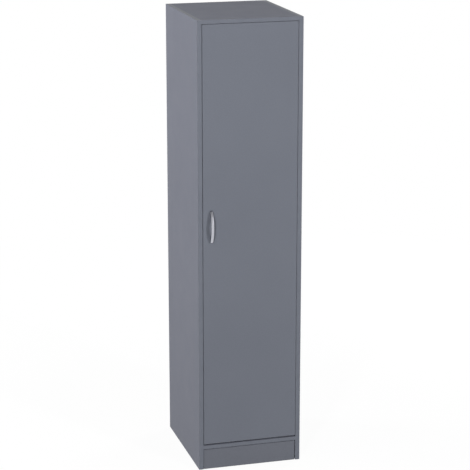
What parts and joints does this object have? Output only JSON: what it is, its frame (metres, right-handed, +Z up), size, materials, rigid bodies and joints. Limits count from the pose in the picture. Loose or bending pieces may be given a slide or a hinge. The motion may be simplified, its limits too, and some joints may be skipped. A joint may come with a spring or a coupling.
{
  "type": "wardrobe",
  "caption": "Tall narrow grey wardrobe with an inset hinged door, bow handle, plinth, hat shelf and oval hanging rail.",
  "frame": {"origin": "on the floor, below the middle of the bounding box of the whole object with its handle", "axes": "+Z up, -Y out of the door, +X from the handle towards the hinges"},
  "size_m": [0.419, 0.522, 1.8],
  "materials": {
    "grey_melamine": "matt grey melamine on particle board",
    "grey_edge_band": "matt grey edge band",
    "lacquered_hardboard": "grey lacquered hardboard",
    "zinc_plated_steel": "bright zinc plate",
    "plated_fasteners": "zinc plated screws, bolts and cams",
    "chromed_steel": "polished chrome",
    "nickel_plated_steel": "bright nickel plate",
    "satin_nickel": "satin brushed nickel",
    "beech": "fluted beech dowel",
    "grey_plastic": "moulded plastic",
    "soft_pad": "clear soft pad"
  },
  "bodies": {
    "carcass": {"left_side_panel": "grey_melamine", "right_side_panel": "grey_melamine", "top_panel": "grey_melamine", "bottom_panel": "grey_melamine", "hat_shelf": "grey_melamine", "back_panel": "lacquered_hardboard", "plinth": "grey_melamine", "left_edge_band": "grey_edge_band", "right_edge_band": "grey_edge_band", "top_edge_band": "grey_edge_band", "bottom_edge_band": "grey_edge_band", "shelf_edge_band": "grey_edge_band", "cam_bolts": "plated_fasteners", "cam_locks": "plated_fasteners", "wood_dowels": "beech", "plinth_brackets": "zinc_plated_steel", "plinth_screws": "plated_fasteners", "hanging_rail": "chromed_steel", "rail_socket_left": "grey_plastic", "rail_socket_right": "grey_plastic", "rail_screws": "plated_fasteners", "hinge_plate_bottom": "nickel_plated_steel", "hinge_plate_middle": "nickel_plated_steel", "hinge_plate_top": "nickel_plated_steel", "hinge_arm_bottom": "nickel_plated_steel", "hinge_arm_middle": "nickel_plated_steel", "hinge_arm_top": "nickel_plated_steel", "plate_screws": "plated_fasteners", "arm_screws": "plated_fasteners", "arm_pins": "zinc_plated_steel", "wall_bracket": "zinc_plated_steel", "wall_bracket_screws": "plated_fasteners", "door_stops": "grey_plastic", "stop_pads": "soft_pad", "stop_screws": "plated_fasteners"},
    "door": {"door_panel": "grey_melamine", "door_edge_band": "grey_edge_band", "bow_handle": "satin_nickel", "handle_screws": "plated_fasteners", "hinge_cup_bottom": "nickel_plated_steel", "hinge_cup_middle": "nickel_plated_steel", "hinge_cup_top": "nickel_plated_steel", "cup_screws": "plated_fasteners"},
    "hinge_links": {"hinge_link_bottom": "zinc_plated_steel", "hinge_link_middle": "zinc_plated_steel", "hinge_link_top": "zinc_plated_steel", "link_pins": "zinc_plated_steel"}
  },
  "joints": [
    {"name": "door_swing", "type": "hinge", "parent": "carcass", "child": "door", "pos_m": [0.1795, -0.2298, 0.94475], "axis": [0, 0, 1], "range_deg": [0, 95]},
    {"name": "link_fold", "type": "hinge", "parent": "carcass", "child": "hinge_links", "pos_m": [0.1795, -0.2095, 0.94475], "axis": [0, 0, 1], "range_deg": [0, 45]}
  ],
  "couplings": [
    {"joint": "link_fold", "follows": "door_swing", "ratio": 0.47}
  ]
}
